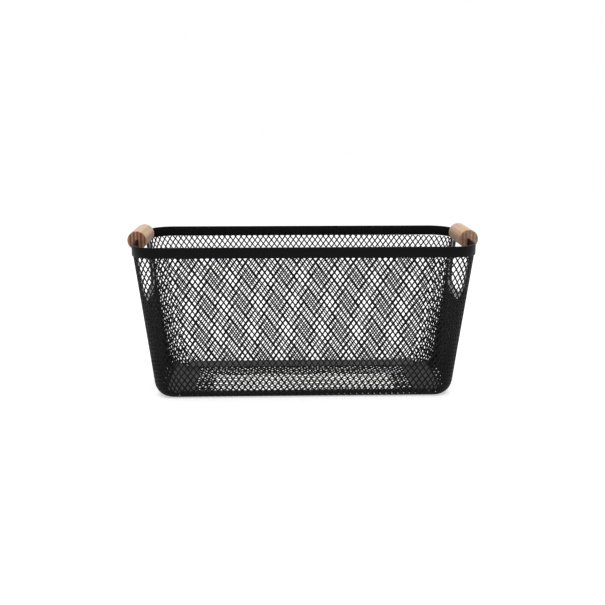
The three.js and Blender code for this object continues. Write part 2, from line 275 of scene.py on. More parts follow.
class Effects:
    """Shader node groups that several finishes share, each built once."""

    # Of the coat.
    DIMPLE_DETAIL = 1.5
    PATCH_DETAIL = 3.0
    PATCHES = (0.3, 0.7)
    # Of the bamboo, with shifts and seeds in strips and widths as shares of a strip.
    STRIP_SHIFT = 0.37
    STRIPS_PER_SEED = 17.0
    GLUE_LINE = (0.0, 0.07)
    FIBRE_STRETCH = 0.03
    FIBRE_DETAIL = 2.0
    STREAK_DETAIL = 3.0
    TINT_DETAIL = 2.0
    TINT_SEED = 40.0

    @staticmethod
    def begin(name: str, inputs: dict[str, float | None], outputs: Iterable[str]) -> tuple[Board, Sockets]:
        """Opens a new group.

        Args:
            name: Name of the group.
            inputs: First value of each named input, or None for a place.
            outputs: Names of the value outputs.

        Returns:
            The group's board and the sockets that bring its inputs.
        """
        tree = bpy.data.node_groups.new(name, "ShaderNodeTree")
        for label, value in inputs.items():
            kind = "NodeSocketVector" if value is None else "NodeSocketFloat"
            socket = tree.interface.new_socket(label, in_out="INPUT", socket_type=kind)
            if value is not None:
                socket.default_value = value
        for label in outputs:
            tree.interface.new_socket(label, in_out="OUTPUT", socket_type="NodeSocketFloat")
        board = Board(tree)
        return board, board.add("NodeGroupInput").outputs

    @cached_property
    def coat_texture(self) -> bpy.types.NodeTree:
        """Fine dimples and slow patches of a sprayed and baked coat.

        Returns:
            The group, with the outputs Patch, Roughness and Height.
        """
        inputs = {"Position": None, "Dimples": 900.0, "Patches": 35.0, "Roughness": 0.5, "Unevenness": 0.12}
        board, given = self.begin("coat_texture", inputs, ("Patch", "Roughness", "Height"))
        dimples = board.noise(given["Position"], given["Dimples"], self.DIMPLE_DETAIL)
        patches = board.noise(given["Position"], given["Patches"], self.PATCH_DETAIL)
        patch = board.spread(patches, self.PATCHES)
        swing = board.math("MULTIPLY", board.math("SUBTRACT", patch, 0.5), given["Unevenness"])
        rough = board.math("ADD", given["Roughness"], swing)
        board.add("NodeGroupOutput", {"Patch": patch, "Roughness": rough, "Height": dimples})
        return board.tree

    @cached_property
    def bamboo_strips(self) -> bpy.types.NodeTree:
        """Glued strips side by side along X, with fibres along Y.

        Returns:
            The group, with the outputs Strip, Turn (0 and 1 by turns), Joint, Fibre, Streak and Tint.
        """
        inputs = {
            "Position": None,
            "Strip Width": 0.0033,
            "Fibre Scale": 2600.0,
            "Streak Scale": 420.0,
            "Seed": 0.0,
        }
        outputs = ("Strip", "Turn", "Joint", "Fibre", "Streak", "Tint")
        board, given = self.begin("bamboo_strips", inputs, outputs)
        seed = given["Seed"]
        parts = board.add("ShaderNodeSeparateXYZ", {"Vector": given["Position"]}).outputs
        across = board.math("DIVIDE", parts["X"], given["Strip Width"])
        shifted = board.math("ADD", across, board.math("MULTIPLY", seed, self.STRIP_SHIFT))
        whole = board.math("FLOOR", shifted)
        number = board.math("ADD", whole, board.math("MULTIPLY", seed, self.STRIPS_PER_SEED))
        strip = board.add("ShaderNodeTexWhiteNoise", {"W": number}, noise_dimensions="1D").outputs["Value"]
        turn = board.math("ROUND", board.math("FRACT", board.math("MULTIPLY", whole, 0.5)))
        to_joint = board.math("PINGPONG", shifted, 0.5)
        joint = board.math("SUBTRACT", 1.0, board.spread(to_joint, self.GLUE_LINE))
        slow_y = board.math("MULTIPLY", parts["Y"], self.FIBRE_STRETCH)
        stretched = {"X": parts["X"], "Y": slow_y, "Z": parts["Z"]}
        place = board.add("ShaderNodeCombineXYZ", stretched).outputs[0]
        fibre = board.noise(place, given["Fibre Scale"], self.FIBRE_DETAIL, seed)
        streak = board.noise(place, given["Streak Scale"], self.STREAK_DETAIL, number)
        tint_seed = board.math("ADD", seed, self.TINT_SEED)
        tint = board.noise(place, given["Streak Scale"], self.TINT_DETAIL, tint_seed)
        board.add("NodeGroupOutput", dict(zip(outputs, (strip, turn, joint, fibre, streak, tint))))
        return board.tree


@dataclass(frozen=True)
class CoatFinish:
    """Satin black coat on steel.

    Attributes:
        name: Name of the material.
        dark: Colour of the darker patches.
        light: Colour of the lighter patches.
        roughness: Middle roughness.
        gloss: Specular level of the coat.
        dimples: Dimples of the coat per metre.
        relief: Depth of the dimples in metres.
        metal: How metallic the surface is, from 0 to 1; with a light colour it paints a sheen.
    """

    name: str
    dark: Colour
    light: Colour
    roughness: float
    gloss: float
    dimples: float
    relief: float
    metal: float = 0.0

    def material(self, effects: Effects) -> bpy.types.Material:
        """Builds the material.

        Args:
            effects: The shared node groups.

        Returns:
            The finished material.
        """
        made, board = new_material(self.name, self.light)
        values = {"Dimples": self.dimples, "Roughness": self.roughness}
        coat = board.effect(effects.coat_texture, values)
        relief = {"Height": coat["Height"], "Strength": 1.0, "Distance": self.relief}
        board.surface(
            {
                "Base Color": board.blend(coat["Patch"], self.dark, self.light),
                "Roughness": coat["Roughness"],
                "Metallic": self.metal,
                "Specular IOR Level": self.gloss,
                "Normal": board.add("ShaderNodeBump", relief).outputs["Normal"],
            }
        )
        return made


@dataclass(frozen=True)
class BambooFinish:
    """Sanded laminated bamboo, along the bar or on its sawn ends.

    Attributes:
        name: Name of the material.
        pale: Colour of the palest strips.
        deep: Colour of the deepest strips.
        streak: Colour of the streaks.
        tint: Colour of the slow tint.
        fibre: Colour of the dark fibres.
        joint: Colour of the glue lines.
        seed: Choice of strips and streaks.
        strip: Width of the strips in metres.
        turns: How far pale and deep strips take turns, from 0 for any order to 1.
        streak_share: How far the streaks tint the strips.
        fibre_share: How far the fibres darken the strips.
        joint_share: How far the glue lines show.
        roughness: Least roughness.
    """

    name: str
    pale: Colour
    deep: Colour
    streak: Colour
    tint: Colour
    fibre: Colour
    joint: Colour
    seed: float
    strip: float
    turns: float
    streak_share: float
    fibre_share: float
    joint_share: float
    roughness: float

    # Parts of the noises that show, and how deep and glossy the surface is.
    STREAKS = (0.42, 0.7)
    TINTS = (0.45, 0.7)
    FIBRES = (0.5, 0.72)
    JOINT_SINK = -0.4
    RELIEF = {"Strength": 0.6, "Distance": 0.00006}
    FIBRE_ROUGHNESS = 0.2
    GLOSS = 0.25

    def material(self, effects: Effects) -> bpy.types.Material:
        """Builds the material.

        Args:
            effects: The shared node groups.

        Returns:
            The finished material.
        """
        made, board = new_material(self.name, self.pale)
        found = board.effect(effects.bamboo_strips, {"Seed": self.seed, "Strip Width": self.strip})
        order = board.math("MULTIPLY", board.math("SUBTRACT", found["Turn"], found["Strip"]), self.turns)
        colour = board.blend(board.math("ADD", found["Strip"], order), self.pale, self.deep)
        layers = (
            (board.spread(found["Streak"], self.STREAKS), self.streak_share, self.streak),
            (board.spread(found["Tint"], self.TINTS), self.streak_share, self.tint),
            (board.spread(found["Fibre"], self.FIBRES), self.fibre_share, self.fibre),
            (found["Joint"], self.joint_share, self.joint),
        )
        for mask, share, over in layers:
            colour = board.blend(board.math("MULTIPLY", mask, share), colour, over)
        height = board.math("MULTIPLY_ADD", found["Joint"], self.JOINT_SINK, found["Fibre"])
        bump = board.add("ShaderNodeBump", {"Height": height, **self.RELIEF})
        board.surface(
            {
                "Base Color": colour,
                "Roughness": board.math(
                    "MULTIPLY_ADD", found["Fibre"], self.FIBRE_ROUGHNESS, self.roughness
                ),
                "Specular IOR Level": self.GLOSS,
                "Normal": bump.outputs["Normal"],
            }
        )
        return made


@dataclass(frozen=True)
class Outline:
    """Rounded rectangle of the tub at one height.

    Attributes:
        half_length: Half length along X.
        half_width: Half width along Y.
        radius: Radius of the corners.
    """

    half_length: float
    half_width: float
    radius: float

    @property
    def long_flat(self) -> float:
        """Half length of the straight part of a long side."""
        return self.half_length - self.radius

    @property
    def end_flat(self) -> float:
        """Half length of the straight part of a short side."""
        return self.half_width - self.radius


@dataclass(frozen=True)
class Wall:
    """Profile of one wall, from the ground up, with the bend at its foot.

    Attributes:
        foot: Distance of the outer face from the middle on the ground, without the bend.
        head: Distance of the outer face from the middle at the top.
        height: Height of the top.
        bend: Radius of the bend.
    """

    foot: float
    head: float
    height: float
    bend: float

    @property
    def lean(self) -> float:
        """Outward run of the wall per millimetre of height."""
        return (self.head - self.foot) / self.height

    @property
    def slope(self) -> float:
        """Angle of the wall from upright."""
        return math.atan(self.lean)

    @property
    def bend_top(self) -> float:
        """Height at which the bend ends."""
        return self.bend * (1 - math.sin(self.slope))

    @property
    def arc(self) -> float:
        """Length of the bend along the profile."""
        return self.bend * (QUARTER_TURN - self.slope)

    @property
    def way(self) -> float:
        """Length of the whole profile, from the floor to the top."""
        return self.arc + (self.height - self.bend_top) / math.cos(self.slope)

    def reach(self, z: float) -> float:
        """Distance of the outer face from the middle.

        Args:
            z: Height over the ground.

        Returns:
            The distance at that height.
        """
        if z >= self.bend_top:
            return self.foot + self.lean * z
        centre = self.foot + self.lean * self.bend - self.bend / math.cos(self.slope)
        return centre + math.sqrt(max(0.0, self.bend**2 - (self.bend - z) ** 2))

    def inset(self, z: float) -> float:
        """How far the bend draws the wall in at a height."""
        return self.foot + self.lean * z - self.reach(z)

    def rise(self, share: float) -> float:
        """Height at a place on the profile.

        Args:
            share: Share of the way along the profile, from the floor to the top.

        Returns:
            The height over the ground.
        """
        way = share * self.way
        if way < self.arc:
            return self.bend * (1 - math.cos(way / self.bend))
        return self.bend_top + (way - self.arc) * math.cos(self.slope)


@dataclass(frozen=True)
class TubForm:
    """Outer surface of the mesh tub: four leaning walls, round corners and bends into the floor.

    Attributes:
        top: Height of the mesh's upper edge.
        head_length: Length over the mesh at its upper edge.
        head_width: Width over the mesh at its upper edge.
        head_radius: Corner radius at the upper edge.
        foot_length: Length that the end walls would have on the ground without their bend.
        foot_width: Width that the long walls would have on the ground without their bend.
        foot_radius: Corner radius on the ground without the bends.
        end_bend: Radius of the bend at the foot of the end walls.
        side_bend: Radius of the bend at the foot of the long walls.
        closest_pitch: Least share of the full pitch that columns keep where the corners gather them.
    """

    top: float = 174.4
    head_length: float = 397.2
    head_width: float = 180.2
    head_radius: float = 29.1
    foot_length: float = 360.0
    foot_width: float = 132.0
    foot_radius: float = 20.0
    end_bend: float = 18.0
    side_bend: float = 8.0
    closest_pitch: float = 0.45

    @property
    def end_wall(self) -> Wall:
        """Profile of the short sides."""
        return Wall(self.foot_length / 2, self.head_length / 2, self.top, self.end_bend)

    @property
    def long_wall(self) -> Wall:
        """Profile of the long sides."""
        return Wall(self.foot_width / 2, self.head_width / 2, self.top, self.side_bend)

    def outline(self, z: float) -> Outline:
        """Outline of the tub.

        Args:
            z: Height over the ground.

        Returns:
            The outline at that height.
        """
        straight = self.foot_radius + (self.head_radius - self.foot_radius) * z / self.top
        drawn = (self.end_wall.inset(z) + self.long_wall.inset(z)) / 2
        return Outline(self.end_wall.reach(z), self.long_wall.reach(z), straight - drawn)


@dataclass(frozen=True)
class SideLattice:
    """How the diamonds lie on one long side, with X to the right and the way up the wall.

    Attributes:
        pitch: Width of the diamonds.
        row: Height of the diamonds.
        lean: Shift of the columns along the sheet per millimetre of the way up.
        spread: Growth of the pitch per millimetre of the way up.
        sag: How far the rows sink between the middle and the measuring place.
        tilt: How far the rows sink on the right at the measuring place, and rise on the left.
        column_shift: Shift of the middle column, in half diamonds.
        row_shift: Shift of the lowest row, in half diamonds.
    """

    pitch: float
    row: float
    lean: float
    spread: float
    sag: float
    tilt: float
    column_shift: float
    row_shift: float

    MEASURED_AT = 150.0
    SPREAD_FROM = 85.0

    def rise(self, x: float, row: float) -> float:
        """Way up the wall of a row, in half diamonds, at a place along the side."""
        share = x / self.MEASURED_AT
        return (row + self.row_shift) * self.row / 2 - self.sag * share**2 - self.tilt * share

    def along(self, column: float, rise: float) -> float:
        """Way along the sheet from the middle of the side, of a column in half diamonds."""
        half = self.pitch / 2 * (1 + self.spread * (rise - self.SPREAD_FROM))
        return self.lean * rise + half * (column + self.column_shift)


class TubSheet:
    """The tub as one sheet: a way round it along the top, and a share of the way up its walls."""

    # Least way over which a corner gathers columns, and the greatest slope of a smooth step.
    LEAST_ZONE = 70.0
    STEEPEST_STEP = 1.5
    LEVEL_DIGITS = 7

    def __init__(self, form: TubForm) -> None:
        """Measures a quarter of the sheet along its top.

        Args:
            form: Outer surface of the tub.
        """
        self.form = form
        self._levels: dict[float, tuple[float, float, Outline, Outline]] = {}
        top = form.outline(form.top)
        corner_arc = QUARTER_TURN * top.radius
        self.long_flat = top.long_flat
        self.quarter = top.long_flat + corner_arc + top.end_flat
        self.corner_middle = top.long_flat + corner_arc / 2

    def level(self, share: float) -> tuple[float, float, Outline, Outline]:
        """Looks a level of the sheet up, or works it out.

        Args:
            share: Share of the way up the walls.

        Returns:
            Heights of the long and the short sides there, and the outlines at those heights.
        """
        key = round(share, self.LEVEL_DIGITS)
        if key not in self._levels:
            heights = [wall.rise(share) for wall in (self.form.long_wall, self.form.end_wall)]
            self._levels[key] = (*heights, *(self.form.outline(z) for z in heights))
        return self._levels[key]

    @staticmethod
    def corner_length(long_level: Outline, end_level: Outline) -> float:
        """Length of a corner between the levels of its two walls."""
        return QUARTER_TURN * (long_level.radius + end_level.radius) / 2

    def gather(self, along: float, share: float) -> Pair:
        """Place along a quarter at a level, with the columns gathered in the corner.

        Args:
            along: Way along the quarter at the top, from the middle of a long side.
            share: Share of the way up the wall.

        Returns:
            The way along the quarter at that level, and its change per millimetre at the top.
        """
        _, _, long_level, end_level = self.level(share)
        arc = self.corner_length(long_level, end_level)
        spare = self.quarter - (long_level.long_flat + arc + end_level.end_flat)
        zone = max(self.LEAST_ZONE, self.STEEPEST_STEP * spare / (1 - self.form.closest_pitch))
        after = min(zone / 2, self.quarter - self.corner_middle)
        part = held((along - self.corner_middle - after + zone) / zone)
        step_slope = 4 * self.STEEPEST_STEP * part * (1 - part)
        return along - spare * smooth_step(part), 1 - spare * step_slope / zone

    def quarter_place(self, along: float, share: float) -> Vector:
        """Point on the quarter between the middle of the front and the middle of the right side.

        Args:
            along: Way along the quarter at the top, from the middle of the front.
            share: Share of the way up the wall.

        Returns:
            The point of the outer face.
        """
        long_z, end_z, long_level, end_level = self.level(share)
        way, _ = self.gather(along, share)
        arc = self.corner_length(long_level, end_level)
        if way <= long_level.long_flat:
            return Vector((way, -long_level.half_width, long_z))
        turn = (way - long_level.long_flat) / arc
        if turn >= 1:
            left = end_level.end_flat - (way - long_level.long_flat - arc)
            return Vector((end_level.half_length, -left, end_z))
        z = long_z + (end_z - long_z) * smooth_step(turn)
        level = self.form.outline(z)
        angle = turn * QUARTER_TURN
        x = level.long_flat + level.radius * math.sin(angle)
        y = level.end_flat + level.radius * math.cos(angle)
        return Vector((x, -y, z))

    def fold(self, along: float) -> Triple:
        """Brings a way round the whole tub back to one quarter.

        Args:
            along: Way round the tub at the top, from the middle of the front.

        Returns:
            The way along the quarter, the sign of X, and 1 on the front half or -1 on the back half.
        """
        turn = along / self.quarter
        number = math.floor(turn) % 4
        local = (turn - math.floor(turn)) * self.quarter
        if number % 2:
            local = self.quarter - local
        return local, 1 if number in (0, 1) else -1, 1 if number in (0, 3) else -1

    def place(self, along: float, share: float) -> Vector:
        """Point of the outer face.

        Args:
            along: Way round the tub at the top, from the middle of the front.
            share: Share of the way up the walls.

        Returns:
            The point.
        """
        local, sign_x, sign_y = self.fold(along)
        point = self.quarter_place(local, share)
        return Vector((point.x * sign_x, point.y * sign_y, point.z))

    def pitch_share(self, along: float, share: float) -> float:
        """Share of the full column pitch that is left at a place."""
        local, _, _ = self.fold(along)
        return self.gather(local, share)[1]


@dataclass
class DiamondNet:
    """Closed net of diamond openings on a sheet, in half-diamond steps.

    Attributes:
        columns: Half diamonds along the sheet.
        rows: Half diamonds up the sheet.
        wraps: Whether the last column meets the first.
        place: Outer point of the sheet at a column and a row.
        knuckle: Share of a half diamond that the strands take at a node.
        keep: Clearance from what is cut away at a column and a row, negative inside it.
        inner: Depth of the net at a column and a row, and how far its inner face lies below the outer one.
        points: Outer and inner points by turns, as they are made.
    """

    columns: int
    rows: int
    wraps: bool
    place: Callable[[float, float], Vector]
    knuckle: Callable[[float, float], float]
    keep: Callable[[float, float], float]
    inner: Callable[[float, float], Pair]
    points: list[Vector] = field(default_factory=list)
    _known: dict[Pair, int] = field(default_factory=dict)
    _corners: dict[tuple[int, int, int, int], Pair] = field(default_factory=dict)
    _kept: dict[tuple[int, int], bool] = field(default_factory=dict)

    STEP = 0.02
    COMPASS = ((1, 0), (0, 1), (-1, 0), (0, -1))
    CUT_STEPS = 18
    SPOT_DIGITS = 4
    # The bake map: height of each side's band, a cut edge's place in its cell, and the edge band's shape.
    FACE_BAND = 0.4
    EDGE_CELL = ((0.1, 0.1), (0.9, 0.1), (0.9, 0.9), (0.1, 0.9))
    EDGES_ACROSS = 5

    def axes(self, column: float, row: float) -> tuple[Vector, Vector]:
        """Measures how the sheet lies.

        Args:
            column: Half diamonds along the sheet.
            row: Half diamonds up the sheet.

        Returns:
            The outward unit normal of the sheet there, and its way up.
        """
        low, high = max(0.0, row - self.STEP), min(float(self.rows), row + self.STEP)
        side = self.place(column + self.STEP, row) - self.place(column - self.STEP, row)
        up = self.place(column, high) - self.place(column, low)
        return side.cross(up).normalized(), up.normalized()

    def vertex(self, spot: Pair) -> int:
        """Looks the points at a spot up, or makes them.

        Args:
            spot: Column and row.

        Returns:
            Number of the outer point; the inner one follows it.
        """
        column = spot[0] % self.columns if self.wraps else spot[0]
        key = (round(column, self.SPOT_DIGITS), round(spot[1], self.SPOT_DIGITS))
        if self.wraps and key[0] >= self.columns:
            key = (0.0, key[1])
        if key not in self._known:
            outer = self.place(*spot)
            normal, up = self.axes(*spot)
            depth, slip = self.inner(*spot)
            self._known[key] = len(self.points)
            self.points += [outer, outer - normal * depth - up * slip]
        return self._known[key]

    def is_kept(self, column: int, row: int) -> bool:
        """Tells whether a node lies on material that stays.

        Args:
            column: Column of the node.
            row: Row of the node.

        Returns:
            True where the node stays.
        """
        key = (column % self.columns if self.wraps else column, row)
        if key not in self._kept:
            self._kept[key] = self.keep(column, row) > 0
        return self._kept[key]

    def cut(self, start: Pair, end: Pair) -> Pair:
        """Finds the last spot that stays on a straight way.

        Args:
            start: A spot that stays.
            end: The spot that the way leads to.

        Returns:
            The end itself where it stays, or else the spot at the cut.
        """
        if self.keep(*end) > 0:
            return end

        def between(share: float) -> Pair:
            """Spot at a share of the way."""
            return tuple(a + (b - a) * share for a, b in zip(start, end))

        low, high = 0.0, 1.0
        for _ in range(self.CUT_STEPS):
            middle = (low + high) / 2
            low, high = (middle, high) if self.keep(*between(middle)) > 0 else (low, middle)
        return between(low)

    def inside(self, column: int, row: int) -> bool:
        """Whether a node lies on the sheet."""
        return 0 <= row <= self.rows and (self.wraps or 0 <= column <= self.columns)

    def corner(self, column: int, row: int, across: int, up: int) -> Pair:
        """Finds a corner of a node's knuckle, drawn in to the node at the sheet's edge.

        Args:
            column: Column of the node.
            row: Row of the node.
            across: 1 or -1 for the corner on the right or the left, or 0.
            up: 1 or -1 for the corner above or below, or 0.

        Returns:
            The corner's spot.
        """
        if not self.inside(column + across, row + up):
            return (column, row)
        key = (column, row, across, up)
        if key not in self._corners:
            share = self.knuckle(column, row)
            spot = (column + across * share, row + up * share)
            self._corners[key] = self.cut((column, row), spot) if self.is_kept(column, row) else spot
        return self._corners[key]

    def polygons(self) -> list[list[Pair]]:
        """Flat polygons of knuckles and strands, anticlockwise from outside.

        Returns:
            Each polygon's spots as columns and rows.
        """
        last = self.columns if self.wraps else self.columns + 1
        made: list[list[Pair]] = []
        for column in range(last):
            for row in range(column % 2, self.rows + 1, 2):
                if self.is_kept(column, row):
                    made.append([self.corner(column, row, *way) for way in self.COMPASS])
        for column in range(self.columns):
            for row in range(self.rows):
                rises = (column + row) % 2 == 0
                low = (column, row) if rises else (column + 1, row)
                high = (column + 1, row + 1) if rises else (column, row + 1)
                made.append(self.strand(low, high, 1 if rises else -1))
        return [polygon for polygon in made if polygon]

    def strand(self, low: tuple[int, int], high: tuple[int, int], lean: int) -> list[Pair]:
        """Polygon of one strand between two nodes, cut where the sheet is cut away.

        Args:
            low: Lower node.
            high: Upper node.
            lean: 1 where the strand rises to the right, -1 where it rises to the left.

        Returns:
            Its four spots, or none where nothing of it stays.
        """
        low_stays, high_stays = self.is_kept(*low), self.is_kept(*high)
        if not low_stays and not high_stays:
            return []
        side, above = self.corner(*low, lean, 0), self.corner(*low, 0, 1)
        beyond, below = self.corner(*high, -lean, 0), self.corner(*high, 0, -1)
        if not high_stays:
            below, beyond = self.cut(side, below), self.cut(above, beyond)
        if not low_stays:
            side, above = self.cut(below, side), self.cut(beyond, above)
        ring = [side, below, beyond, above]
        return ring if lean > 0 else ring[::-1]

    def build(self, name: str) -> bpy.types.Object:
        """Makes the net's object, with a map for baking.

        Args:
            name: Name of the object.

        Returns:
            The new object.
        """
        faces: list[list[int]] = []
        spots: list[list[Pair]] = []
        edges: dict[tuple[int, int], None] = {}
        for polygon in self.polygons():
            ring = [(self.vertex(spot), spot) for spot in polygon]
            ring = [pair for i, pair in enumerate(ring) if pair[0] != ring[i - 1][0]]
            if len(ring) < 3:
                continue
            numbers = [pair[0] for pair in ring]
            faces.append(numbers)
            spots.append([pair[1] for pair in ring])
            for i, start in enumerate(numbers):
                end = numbers[(i + 1) % len(numbers)]
                if (end, start) in edges:
                    del edges[(end, start)]
                else:
                    edges[(start, end)] = None
        faces += [[number + 1 for number in reversed(face)] for face in faces]
        faces += [[end, start, start + 1, end + 1] for start, end in edges]
        mesh = mesh_of(name, self.points, faces)
        self._map(mesh, spots, len(edges))
        return new_object(name, mesh)

    def _map(self, mesh: bpy.types.Mesh, spots: list[list[Pair]], edge_count: int) -> None:
        """Lays the outer faces, the inner faces and the cut edges out side by side for baking.

        Args:
            mesh: The net's mesh, with its faces in that order.
            spots: Spots of each outer face.
            edge_count: Number of cut edges.
        """
        layer = mesh.uv_layers.new(name=BAKE_MAP)
        outer_count, band = len(spots), self.FACE_BAND
        across = math.ceil(math.sqrt(edge_count * self.EDGES_ACROSS))
        down = math.ceil(edge_count / across)
        span_x, span_y = self.columns + 2, self.rows + 1
        for polygon in mesh.polygons:
            number = polygon.index
            if number < 2 * outer_count:
                inner = number >= outer_count
                ring = spots[number - outer_count][::-1] if inner else spots[number]
                start = band if inner else 0.0
                places = [((c + 0.5) / span_x, start + (r + 0.5) / span_y * band) for c, r in ring]
            else:
                y, x = divmod(number - 2 * outer_count, across)
                start, height = 2 * band, 1 - 2 * band
                places = [((x + u) / across, start + height * (y + v) / down) for u, v in self.EDGE_CELL]
            for loop, spot in zip(polygon.loop_indices, places):
                layer.data[loop].uv = spot


def rounded_box(x: float, y: float, half_x: float, half_y: float, radius: float) -> float:
    """Measures how far a place lies from the edge of a rounded rectangle.

    Args:
        x: Place along the first axis, from the middle.
        y: Place along the second axis, from the middle.
        half_x: Half size along the first axis.
        half_y: Half size along the second axis.
        radius: Radius of the corners.

    Returns:
        The distance, negative inside the rectangle.
    """
    out_x, out_y = abs(x) - half_x + radius, abs(y) - half_y + radius
    outside = math.hypot(max(out_x, 0.0), max(out_y, 0.0))
    return outside + min(max(out_x, out_y), 0.0) - radius


@dataclass
class HandHole:
    """Hand hole in a short side, lined with a steel strip that is folded over the mesh's edge.

    Attributes:
        form: Surface that the hole is cut from.
        width: Width inside the lining.
        depth: Depth inside the lining, down the wall from the hoop.
        radius: Radius of its lower corners.
        stock: Thickness of the folded strip.
        lap: How far its folds lap over the mesh, from the hole's edge.
        groove: Space between the folds.
        fold: Outer radius of the folds.
        sheet: Thickness of the mesh sheet.
        gap: Space between the mesh's cut edge and the lining.
    """

    form: TubForm
    width: float = 85.0
    depth: float = 56.0
    radius: float = 26.0
    stock: float = 1.0
    lap: float = 8.5
    groove: float = 1.4
    fold: float = 0.9
    sheet: float = 0.8
    gap: float = 0.3

    ARC_STEPS = 24
    FOLD_STEPS = 5
    LAP_FACING = 0.9
    FAR_AWAY = 1.0

    def clearance(self, point: Vector) -> float:
        """Measures how far a point of the tub lies from the mesh's cut edge.

        Args:
            point: A point of the tub's outer face.

        Returns:
            The distance, negative inside the edge, or one number for all points off the short sides.
        """
        if abs(point.x) < self.form.foot_length / 2:
            return self.FAR_AWAY
        below = (self.form.top - point.z) / math.cos(self.form.end_wall.slope)
        grown = self.stock + self.gap
        return rounded_box(point.y, below, self.width / 2 + grown, self.depth + grown, self.radius + grown)

    def path(self) -> list[tuple[Pair, Pair]]:
        """Edge of the hole on the wall, as places and outward directions.

        Returns:
            Pairs of a place along Y and up the wall, and the direction away from the hole.
        """
        half = self.width / 2
        low = self.radius - self.depth
        stations = [((-half, 0.0), (-1.0, 0.0))]
        for side, start in ((-1, 2), (1, 3)):
            middle = side * (half - self.radius)
            for way in quarter_arc(start, self.ARC_STEPS):
                stations.append(((middle + self.radius * way[0], low + self.radius * way[1]), way))
        stations.append(((half, 0.0), (1.0, 0.0)))
        return stations

    def profile(self) -> list[Pair]:
        """Cross-section of the folded strip.

        Returns:
            Its points, anticlockwise, as places away from the hole and out of the wall.
        """
        half = self.groove / 2 + self.stock
        points = [(self.lap, self.groove / 2), (self.lap, half)]
        for side, start in ((1, 1), (-1, 2)):
            for away, out in quarter_arc(start, self.FOLD_STEPS):
                points.append((self.fold * (1 + away), side * (half - self.fold) + self.fold * out))
        points += [(self.lap, -half), (self.lap, -self.groove / 2)]
        return [*points, (self.stock, -self.groove / 2), (self.stock, self.groove / 2)]

    def build(self, end: End) -> bpy.types.Object:
        """Makes the lining of one end.

        Args:
            end: The end that it belongs to.

        Returns:
            The new object, in place of its CAD node, with its inner lap as a second material, which paints
            the sheen of the overhead light on it.
        """
        name = end.named("hole_lining")
        wall = self.form.end_wall
        up = Vector((math.sin(wall.slope) * end.value, 0, math.cos(wall.slope)))
        out = Vector((math.cos(wall.slope) * end.value, 0, -math.sin(wall.slope)))
        along = Vector((0, end.value, 0))
        top = Vector((end.value * wall.reach(self.form.top), 0, self.form.top)) - out * self.sheet / 2
        stations = []
        for (y, height), (way_y, way_up) in self.path():
            stations.append((top + along * y + up * height, along * way_y + up * way_up, out))
        made = sweep(name, self.profile(), stations, closed=False)
        for face in made.data.polygons:
            # Faces turned into the basket take the second material, the painted sheen of the inner lap.
            face.material_index = int(face.normal.dot(out) < -self.LAP_FACING)
        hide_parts(name)
        return made


def strip_profile(thickness: float, width: float, edge: float, steps: int) -> list[Pair]:
    """Cross-section of a flat strip with rounded edges, about its middle.

    Args:
        thickness: Size along the first direction.
        width: Size along the second direction.
        edge: Radius of its edges.
        steps: Steps of each rounded edge.

    Returns:
        Its points, anticlockwise.
    """
    inner_x, inner_y = thickness / 2 - edge, width / 2 - edge
    points = []
    for number, (x, y) in enumerate(((1, 1), (-1, 1), (-1, -1), (1, -1))):
        for first, second in quarter_arc(number, steps):
            points.append((x * inner_x + edge * first, y * inner_y + edge * second))
    return points


def sweep(
    name: str, profile: Sequence[Pair], stations: Sequence[Station], closed: bool
) -> bpy.types.Object:
    """Carries a cross-section along stations.

    Args:
        name: Name of the object.
        profile: Cross-section, anticlockwise in its two directions.
        stations: Each station's middle and two directions, in millimetres.
        closed: Whether the last station joins the first.

    Returns:
        The new object, shaded round.
    """
    count, size = len(stations), len(profile)
    points = [middle + first * a + second * b for middle, first, second in stations for a, b in profile]
    ahead = stations[1][0] - stations[0][0]
    forward = stations[0][1].cross(stations[0][2]).dot(ahead) > 0
    faces = []
    for i in range(count if closed else count - 1):
        here, there = i * size, (i + 1) % count * size
        for j in range(size):
            k = (j + 1) % size
            faces.append([here + j, here + k, there + k, there + j])
    if not closed:
        faces.append(list(range(size))[::-1])
        faces.append(list(range((count - 1) * size, count * size)))
    mesh = mesh_of(name, points, faces if forward else [face[::-1] for face in faces])
    shade_round(mesh)
    return new_object(name, mesh)


